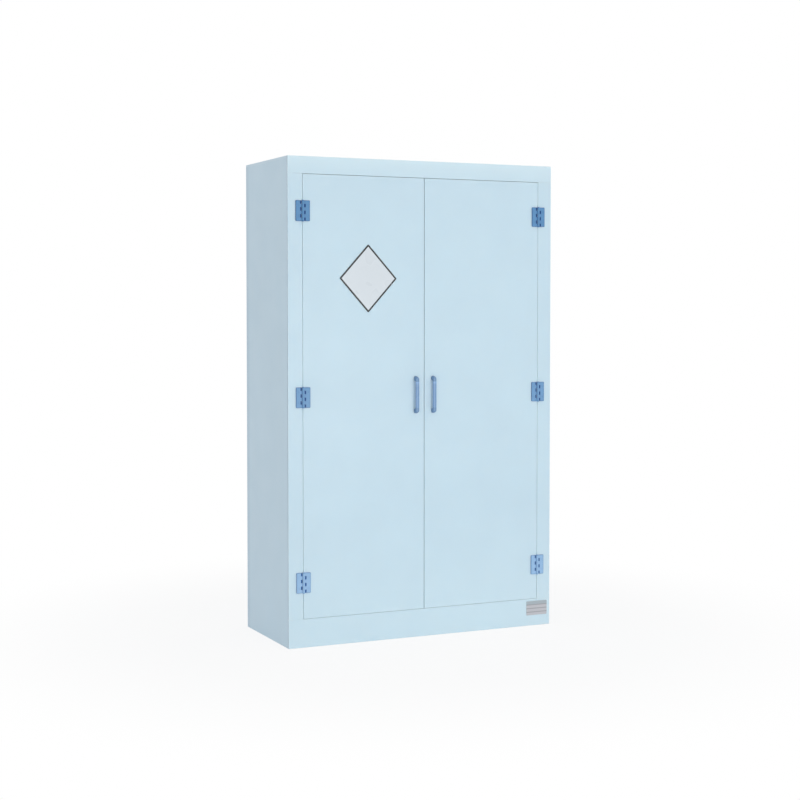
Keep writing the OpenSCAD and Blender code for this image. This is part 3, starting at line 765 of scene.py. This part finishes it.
def ruled_rows(tree, place, tone):
    """The nameplate's darker head band and its ruled lines, by height."""
    low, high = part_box("nameplate")
    level = add_node(tree, "ShaderNodeSeparateXYZ", {0: place}).outputs["Z"]
    share = ranged(tree, level, low[2], high[2], 0.0, 1.0, "LINEAR")
    tone = mixed(tree, ranged(tree, share, BAND_START, BAND_FULL), tone, PLATE_BAND)
    for middle in RULED_LINES:
        away = sums(tree, "ABSOLUTE", sums(tree, "SUBTRACT", share, middle))
        tone = mixed(tree, ranged(tree, away, LINE_CORE, LINE_HALF_H, 1.0, 0.0), tone, PLATE_LINE)
    return tone


def brushed_steel():
    """Stainless strip, brushed along its length."""
    material, tree, shader, place = new_finish("brushed_steel")
    streak = noise(tree, stretched(tree, place, (0.0, 0.0, 0.0), BRUSH_STRETCH), 1.0, detail=3.0)
    tone = placed(tree, "cloudy_tone", Place=place, Colour=STEEL, Clouds=60.0, Depth=0.05)["Colour"]
    bump = add_node(tree, "ShaderNodeBump", {"Strength": 1.0, "Distance": BRUSH_DEPTH, "Height": streak})
    tree.links.new(tone, shader.inputs["Base Color"])
    tree.links.new(ranged(tree, streak, *NOISE_SPREAD, *BRUSH_ROUGH), shader.inputs["Roughness"])
    tree.links.new(bump.outputs[0], shader.inputs["Normal"])
    shader.inputs["Metallic"].default_value = 1.0
    return material


def dark_ferrite():
    """Ground ferrite: dark grey with a fine speckle."""
    material, tree, shader, place = new_finish("dark_ferrite")
    speckle = noise(tree, place, FERRITE_GRAIN, detail=3.0)
    tone = placed(tree, "cloudy_tone", Place=place, Colour=FERRITE, Clouds=900.0, Depth=0.25)["Colour"]
    bump = add_node(tree, "ShaderNodeBump", {"Strength": 1.0, "Distance": FERRITE_DEPTH, "Height": speckle})
    tree.links.new(tone, shader.inputs["Base Color"])
    tree.links.new(ranged(tree, speckle, *NOISE_SPREAD, *FERRITE_ROUGH), shader.inputs["Roughness"])
    tree.links.new(bump.outputs[0], shader.inputs["Normal"])
    return material


MOULDED = {"grain": 900.0, "peel": 0.03, "wave": 0.0}
FINISHES = {
    "pale_sheet": plastic("pale_sheet", SHEET_BLUE, SHEET_EDGE, 0.42),
    "side_sheet": plastic("side_sheet", SHEET_BLUE, SHEET_EDGE, 0.42, marks=side_painted_shade),
    "front_sheet": plastic("front_sheet", FRONT_BLUE, SHEET_EDGE, 0.42, glow=FRONT_GLOW, marks=front_tones),
    "liner_sheet": plastic("liner_sheet", LINER_WHITE, LINER_EDGE, 0.40),
    "weld_rod": plastic("weld_rod", BEAD_BLUE, SHEET_EDGE, 0.30, grain=250.0, peel=0.15, cloud=0.03),
    "hinge_moulding": plastic("hinge_moulding", HINGE_HIGH, HINGE_EDGE, 0.36, shine=HINGE_SHINE,
                              marks=slot_shade, **MOULDED),
    "pin_moulding": plastic("pin_moulding", HINGE_HIGH, HINGE_EDGE, 0.36, shine=HINGE_SHINE,
                            marks=painted_light_low, **MOULDED),
    "handle_moulding": plastic("handle_moulding", HANDLE_BLUE, HINGE_EDGE, 0.30, grain=700.0, peel=0.03,
                               wave=0.0, marks=cap_shade_and_highlight),
    "catch_moulding": plastic("catch_moulding", LINER_WHITE, LINER_EDGE, 0.36, **MOULDED),
    "sign_print": plastic("sign_print", SIGN_PALE, SIGN_PALE, 0.28, grain=600.0, peel=0.01, wave=0.1,
                          cloud=0.01, marks=sign_border),
    "ruled_plate": plastic("ruled_plate", PLATE_GREY, PLATE_GREY, 0.34, grain=900.0, peel=0.01, wave=0.0,
                           cloud=0.02, marks=ruled_rows),
    "brushed_steel": brushed_steel(),
    "dark_ferrite": dark_ferrite(),
}


# Pieces

record = frame["record"]
NODE_BODY = {node: body for body, nodes in record["behaviour"]["bodies"].items() for node in nodes}


def add_piece(name, skin, finish, body):
    """Makes a skin a piece that rides on a body."""
    mesh = bpy.data.meshes.new(name)
    mesh.from_pydata(skin.points.tolist(), [], skin.quads.tolist() + [cap.tolist() for cap in skin.caps])
    mesh.shade_smooth()
    for label, mask in skin.masks.items():
        mesh.attributes.new(label, "FLOAT", "POINT").data.foreach_set("value", mask.astype(np.float32))
    mesh.materials.append(FINISHES[finish])
    piece = bpy.data.objects.new(name, mesh)
    bpy.context.scene.collection.objects.link(piece)
    piece.modifiers.new("flat_faces", "WEIGHTED_NORMAL")
    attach(piece, body)
    return piece


def dress(node, skin, finish):
    """A piece that stands for a node of the frame."""
    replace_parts(add_piece(f"finished_{node}", skin, finish, NODE_BODY[node]), node)


def coat(node, finish, rounding):
    """A node of the frame kept as it is, with softened edges and a finish."""
    solid = frame["nodes"][node]
    for material_slot in solid.material_slots:
        material_slot.material = FINISHES[finish]
    weld = solid.modifiers.new("closed_faces", "WELD")
    weld.merge_threshold = CLOSING_DISTANCE
    bevel = solid.modifiers.new("soft_edges", "BEVEL")
    bevel.width = rounding
    bevel.segments = 2
    bevel.limit_method = "ANGLE"
    bevel.angle_limit = SHARP_ANGLE
    solid.modifiers.new("flat_faces", "WEIGHTED_NORMAL")


def boards_of(node, axis):
    """The corners of a node's separate boards, which stand in a row along one axis."""
    solid = frame["nodes"][node].data
    points = np.empty(len(solid.vertices) * 3, np.float32)
    solid.vertices.foreach_get("co", points)
    ends = np.unique(np.round(points.reshape(-1, 3)[:, axis], 6)).reshape(-1, 2)
    low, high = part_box(node)
    lows, highs = np.tile(low, (len(ends), 1)), np.tile(high, (len(ends), 1))
    lows[:, axis], highs[:, axis] = ends[:, 0], ends[:, 1]
    return list(zip(lows, highs))


BOARDS = [(node, PANEL_ROUND, "pale_sheet") for node in ("back_panel", "top_panel", "floor_panel")]
BOARDS += [(node, PANEL_ROUND, "front_sheet") for node in ("top_rail", "bottom_rail")]
BOARDS += [(node, STRIP_ROUND, "pale_sheet") for node in ("head_strip", "sill_strip")]
for side in SIDES:
    BOARDS += [(f"{side}_side_panel", PANEL_ROUND, "side_sheet"),
               (f"{side}_jamb", STRIP_ROUND, "pale_sheet"),
               (f"{side}_stile", PANEL_ROUND, "front_sheet"),
               (f"{side}_door_panel", DOOR_ROUND, "front_sheet")]
for node, rounding, finish in BOARDS:
    dress(node, slab(*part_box(node), rounding), finish)

X, Z = 0, 2
BOARD_ROWS = [("base_runners", X, PANEL_ROUND, "pale_sheet"),
              ("door_stop", X, STRIP_ROUND, "pale_sheet"),
              ("catch_magnets", X, STRIKE_ROUND, "dark_ferrite")]
for side in SIDES:
    BOARD_ROWS += [(f"{side}_door_uprights", X, BAR_ROUND, "pale_sheet"),
                   (f"{side}_door_crossbars", Z, BAR_ROUND, "pale_sheet"),
                   (f"{side}_strike_plate", X, STRIKE_ROUND, "brushed_steel")]
for node, axis, rounding, finish in BOARD_ROWS:
    dress(node, joined([slab(low, high, rounding) for low, high in boards_of(node, axis)]), finish)

for node in ["sump_tray"] + [f"{height}_shelf_tray" for height in HEIGHTS]:
    dress(node, tray_skin(*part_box(node)), "liner_sheet")

for side in SIDES:
    dress(f"{side}_handle", handle_skin(*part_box(f"{side}_handle")), "handle_moulding")

low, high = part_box("sign_plate")
middle = (low + high) / 2
sign_corners = [(middle.x, low.z), (high.x, middle.z), (middle.x, high.z), (low.x, middle.z)]
dress("sign_plate", plate_skin(sign_corners, high.y, high.y - low.y, SIGN_CORNER_ROUND), "sign_print")

low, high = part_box("nameplate")
plate_corners = [(low.x, low.z), (high.x, low.z), (high.x, high.z), (low.x, high.z)]
dress("nameplate", plate_skin(plate_corners, high.y, high.y - low.y, NAMEPLATE_CORNER_ROUND), "ruled_plate")

for side in SIDES:
    for height in HEIGHTS:
        coat(f"{side}_{height}_frame_leaf", "hinge_moulding", LEAF_ROUND)
        coat(f"{side}_{height}_door_leaf", "hinge_moulding", LEAF_ROUND)
    coat(f"{side}_hinge_pins", "pin_moulding", PIN_ROUND)
    for screws in ("frame_leaf_screws", "door_leaf_screws", "handle_screws"):
        coat(f"{side}_{screws}", "pin_moulding", SCREW_ROUND)
    coat(f"{side}_catch_housing", "catch_moulding", CATCH_ROUND)
    for depth in ("front", "rear"):
        coat(f"{side}_{depth}_shelf_standard", "pale_sheet", STANDARD_ROUND)
coat("shelf_pegs", "catch_moulding", PEG_ROUND)


# Weld beads

LEFT, RIGHT, FRONT, BACK, DOWN, UP = (-1, 0, 0), (1, 0, 0), (0, -1, 0), (0, 1, 0), (0, 0, -1), (0, 0, 1)


def carcass_beads():
    """Beads in the corners of the carcass: down the back, round the ceiling and round the floor."""
    left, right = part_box("left_side_panel")[1].x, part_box("right_side_panel")[0].x
    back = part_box("back_panel")[0].y
    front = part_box("top_rail")[1].y
    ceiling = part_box("top_panel")[0].z
    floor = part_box("floor_panel")[1].z
    beads = []
    for x, inward in ((left, RIGHT), (right, LEFT)):
        beads.append(bead_skin((x, back, floor), (x, back, ceiling), inward, FRONT, BEAD_SIZE))
        for z, clear in ((floor, UP), (ceiling, DOWN)):
            beads.append(bead_skin((x, front, z), (x, back, z), inward, clear, BEAD_SIZE))
    for z, clear in ((floor, UP), (ceiling, DOWN)):
        for y, inward in ((front, BACK), (back, FRONT)):
            beads.append(bead_skin((left, y, z), (right, y, z), inward, clear, BEAD_SIZE))
    return joined(beads)


def standard_beads():
    """Beads up both edges of each shelf standard."""
    beads = []
    for side, inward in zip(SIDES, (RIGHT, LEFT)):
        for depth in ("front", "rear"):
            low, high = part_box(f"{side}_{depth}_shelf_standard")
            x = low.x if side == "left" else high.x
            for y, clear in ((low.y, FRONT), (high.y, BACK)):
                beads.append(bead_skin((x, y, low.z), (x, y, high.z), inward, clear, DOOR_BEAD_SIZE))
    return joined(beads)


def door_beads(side):
    """Beads round each bay behind a door's front sheet, where the bars meet the sheet."""
    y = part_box(f"{side}_door_panel")[1].y
    uprights = boards_of(f"{side}_door_uprights", X)
    crossbars = boards_of(f"{side}_door_crossbars", Z)
    left, right = uprights[0][1][X], uprights[1][0][X]
    beads = []
    for below, above in zip(crossbars[:-1], crossbars[1:]):
        foot, head = below[1][Z], above[0][Z]
        for x, inward in ((left, RIGHT), (right, LEFT)):
            beads.append(bead_skin((x, y, foot), (x, y, head), inward, BACK, DOOR_BEAD_SIZE))
        for z, inward in ((foot, UP), (head, DOWN)):
            beads.append(bead_skin((left, y, z), (right, y, z), inward, BACK, DOOR_BEAD_SIZE))
    return joined(beads)


add_piece("carcass_weld_beads", carcass_beads(), "weld_rod", "carcass")
add_piece("standard_weld_beads", standard_beads(), "weld_rod", "carcass")
for side in SIDES:
    add_piece(f"{side}_door_weld_beads", door_beads(side), "weld_rod", f"{side}_door")


# Stage

def seen_directly(tree):
    """1 for what the camera sees, straight or in a reflection, and 0 for light that falls on things."""
    path = add_node(tree, "ShaderNodeLightPath").outputs
    glossy = sums(tree, "MAXIMUM", path["Is Glossy Ray"], path["Is Transmission Ray"])
    return sums(tree, "MAXIMUM", path["Is Camera Ray"], glossy)


def white_world():
    """An even white surrounding: pure white where it is seen, and softer as light."""
    world = bpy.data.worlds.new("white_studio")
    world.use_nodes = True
    tree = world.node_tree
    tree.nodes.clear()
    strength = ranged(tree, seen_directly(tree), 0.0, 1.0, AMBIENT, 1.0, "LINEAR")
    tint = mixed(tree, seen_directly(tree), AMBIENT_TINT, (1.0, 1.0, 1.0, 1.0))
    glow = add_node(tree, "ShaderNodeBackground", {"Color": tint, "Strength": strength})
    add_node(tree, "ShaderNodeOutputWorld", {"Surface": glow.outputs[0]})
    bpy.context.scene.world = world


def pale_floor():
    """A wide pale floor that looks white, and keeps the cabinet's shadow close to it."""
    u, v = np.meshgrid([-FLOOR_HALF, FLOOR_HALF], [-FLOOR_HALF, FLOOR_HALF], indexing="ij")
    points = np.stack([u, v, np.zeros_like(u)], axis=-1).reshape(-1, 3)
    mesh = bpy.data.meshes.new("floor")
    mesh.from_pydata(points.tolist(), [], grid_quads(2, 2).tolist())
    material = bpy.data.materials.new("pale_floor")
    material.use_nodes = True
    tree = material.node_tree
    tree.nodes.clear()
    grey = (FLOOR_GREY, FLOOR_GREY, FLOOR_GREY, 1)
    matt = add_node(tree, "ShaderNodeBsdfDiffuse", {"Color": grey}).outputs[0]
    white = add_node(tree, "ShaderNodeEmission", {"Color": (1, 1, 1, 1), "Strength": 1.0}).outputs[0]
    place = add_node(tree, "ShaderNodeTexCoord").outputs["Object"]
    away = add_node(tree, "ShaderNodeVectorMath", {0: place}, operation="LENGTH").outputs["Value"]
    glow = ranged(tree, away, SHADOW_NEAR, SHADOW_FAR, FLOOR_GLOW, 1.0)
    share = sums(tree, "MULTIPLY", seen_directly(tree), glow)
    surface = add_node(tree, "ShaderNodeMixShader", {0: share, 1: matt, 2: white}).outputs[0]
    add_node(tree, "ShaderNodeOutputMaterial", {"Surface": surface})
    mesh.materials.append(material)
    floor = bpy.data.objects.new("floor", mesh)
    bpy.context.scene.collection.objects.link(floor)


def aimed(place, target):
    """The turn of a lamp or camera that looks from a place along -Z to a target."""
    return (Vector(target) - Vector(place)).to_track_quat("-Z", "Y").to_euler()


def key_light():
    """One large soft lamp low in front, a little to the right."""
    lamp = bpy.data.lights.new("key_light", "AREA")
    lamp.energy = KEY_POWER
    lamp.size = KEY_SIZE
    lamp.color = KEY_TINT
    key = bpy.data.objects.new("key_light", lamp)
    key.location = KEY_PLACE
    key.visible_camera = False
    key.rotation_euler = aimed(KEY_PLACE, KEY_AIM)
    bpy.context.scene.collection.objects.link(key)


def photo_camera():
    """The camera, at the photograph's viewing angle."""
    lens = bpy.data.cameras.new("camera")
    lens.lens = CAMERA_LENS
    lens.shift_y = CAMERA_SHIFT
    camera = bpy.data.objects.new("camera", lens)
    camera.location = CAMERA_PLACE
    ahead = (math.sin(CAMERA_YAW) * math.cos(CAMERA_TILT), math.cos(CAMERA_YAW) * math.cos(CAMERA_TILT),
             -math.sin(CAMERA_TILT))
    camera.rotation_euler = aimed(CAMERA_PLACE, Vector(CAMERA_PLACE) + Vector(ahead))
    bpy.context.scene.collection.objects.link(camera)
    bpy.context.scene.camera = camera


white_world()
pale_floor()
key_light()
photo_camera()
bpy.context.scene.view_settings.view_transform = "Standard"
